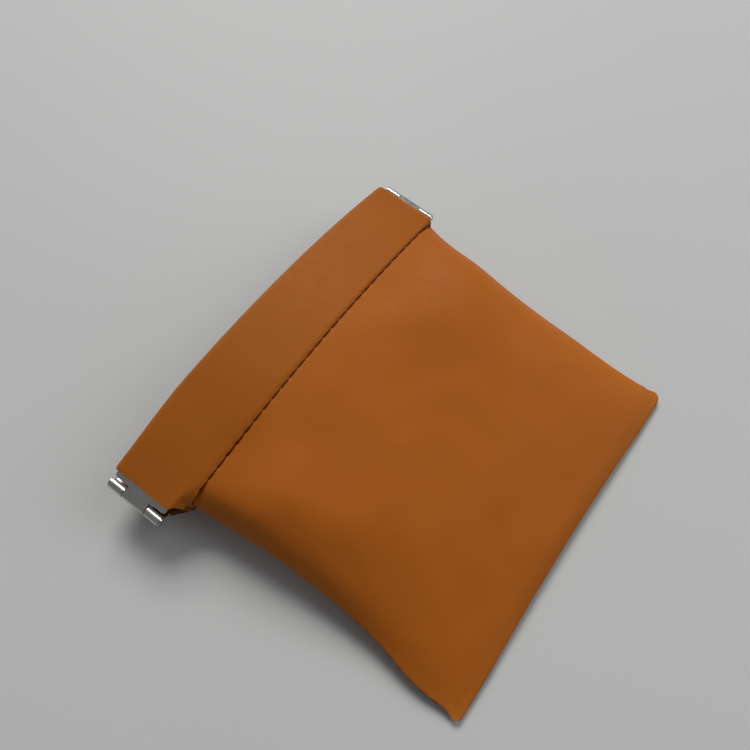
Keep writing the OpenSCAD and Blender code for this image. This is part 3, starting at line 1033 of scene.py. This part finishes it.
def thread_material():
    """Dark red-brown polyester thread with fine fibres along each ply."""
    n = Nodes("thread")
    fibre = n.noise(6000, 2)
    colour = n.mix(fibre, (0.06, 0.006, 0.0015, 1), (0.14, 0.014, 0.003, 1))
    n.set(Base_Color=colour, Roughness=0.7, Normal=n.bump(fibre, 0.00003, 0.6), Specular_IOR_Level=0.15,
          Specular_Tint=(1, 0.5, 0.3, 1))
    return n.material


def brushed_steel():
    """Satin nickel-plated spring steel: brushed along the strip, with soft edges and scuffs."""
    n = Nodes("brushed_steel")
    stretch = n.add("ShaderNodeMapping", {"Vector": n.place, "Scale": (60.0, 2400.0, 2400.0)}).outputs[0]
    brush = n.noise(1.0, 4, 0.6, stretch)
    scuff = n.ramp(n.noise(900, 4, 0.7), 0.55, 0.75)
    soft_edge = n.add("ShaderNodeBevel", {"Radius": 0.00012}, samples=4).outputs[0]
    normal = n.bump(brush, 0.000012, 0.35, soft_edge)
    colour = n.mix(brush, (0.52, 0.51, 0.48, 1), (0.66, 0.64, 0.60, 1))
    rough = n.math("ADD", n.ramp(brush, 0.3, 0.7, 0.2, 0.32), n.math("MULTIPLY", scuff, 0.12))
    n.set(Base_Color=colour, Metallic=1.0, Roughness=rough, Normal=normal)
    return n.material


LEATHER = [outer_leather("leather", 1), leather_backing(), leather_edge()]
# The casings' copy of the leather is darkened to 0.87 of its colour: painted shade for the darker light
# that falls on the casings
CASING_LEATHER_PAINTED_SHADE = [outer_leather("casing_leather_painted_shade", 0.87), *LEATHER[1:]]
THREAD = thread_material()
STEEL = brushed_steel()


def finish_metal():
    """Gives the strips and pins, whose CAD shape is their real shape, their steel."""
    for name, node in frame["nodes"].items():
        if "strip" in name or name.endswith("pin"):
            node.data.materials.clear()
            node.data.materials.append(STEEL)


# ---- floor, light and camera

CAMERA_PLACE = (-0.0611, -0.0359, 0.1706)
CAMERA_AIM = (0.0092, 0.0162, 0.0)
CAMERA_LENS = 34.56
WORLD_COLOUR = (0.93, 0.96, 1, 1)
WORLD_STRENGTH = 0.185
LIGHTS = {
    "key": {"place": (0.85, 0.76, 1.2), "size": (0.85, 0.85), "power": 20.5, "colour": (1, 0.985, 0.96)},
    "side": {"place": (0.9, -0.9, 1.0), "size": (1.2, 1.2), "power": 8.0, "colour": (0.97, 0.99, 1)},
}


def aimed(obj, place, aim):
    obj.location = place
    obj.rotation_euler = (Vector(aim) - Vector(place)).to_track_quat("-Z", "Y").to_euler()
    bpy.context.scene.collection.objects.link(obj)
    return obj


def area_light(name, place, size, power, colour):
    light = bpy.data.lights.new(name, "AREA")
    light.shape = "RECTANGLE"
    light.size, light.size_y = size
    light.energy = power
    light.color = colour
    return aimed(bpy.data.objects.new(name, light), place, (0, 0, 0.01))


def build_stage():
    bpy.ops.mesh.primitive_plane_add(size=6)
    floor = bpy.context.object
    floor.name = "floor"
    n = Nodes("floor")
    tone = n.mix(n.noise(6, 2), (0.50, 0.505, 0.50, 1), (0.54, 0.545, 0.54, 1))
    n.set(Base_Color=tone, Roughness=0.6, Specular_IOR_Level=0.3)
    floor.data.materials.append(n.material)

    world = bpy.data.worlds.new("studio")
    world.use_nodes = True
    background = world.node_tree.nodes["Background"]
    background.inputs["Color"].default_value = WORLD_COLOUR
    background.inputs["Strength"].default_value = WORLD_STRENGTH
    bpy.context.scene.world = world
    bpy.context.scene.view_settings.view_transform = "Standard"
    for name, settings in LIGHTS.items():
        area_light(name, **settings)

    camera = bpy.data.cameras.new("camera")
    camera.lens = CAMERA_LENS
    camera.clip_start = 0.01
    bpy.context.scene.camera = aimed(bpy.data.objects.new("camera", camera), CAMERA_PLACE, CAMERA_AIM)


# ---- the purse

pouch_lean = build_pouch()
for face in (FRONT, BACK):
    build_casing(face)
    build_casing_stitches(face)
build_seam_stitches(pouch_lean)
build_gussets(pouch_lean)
finish_metal()
build_stage()
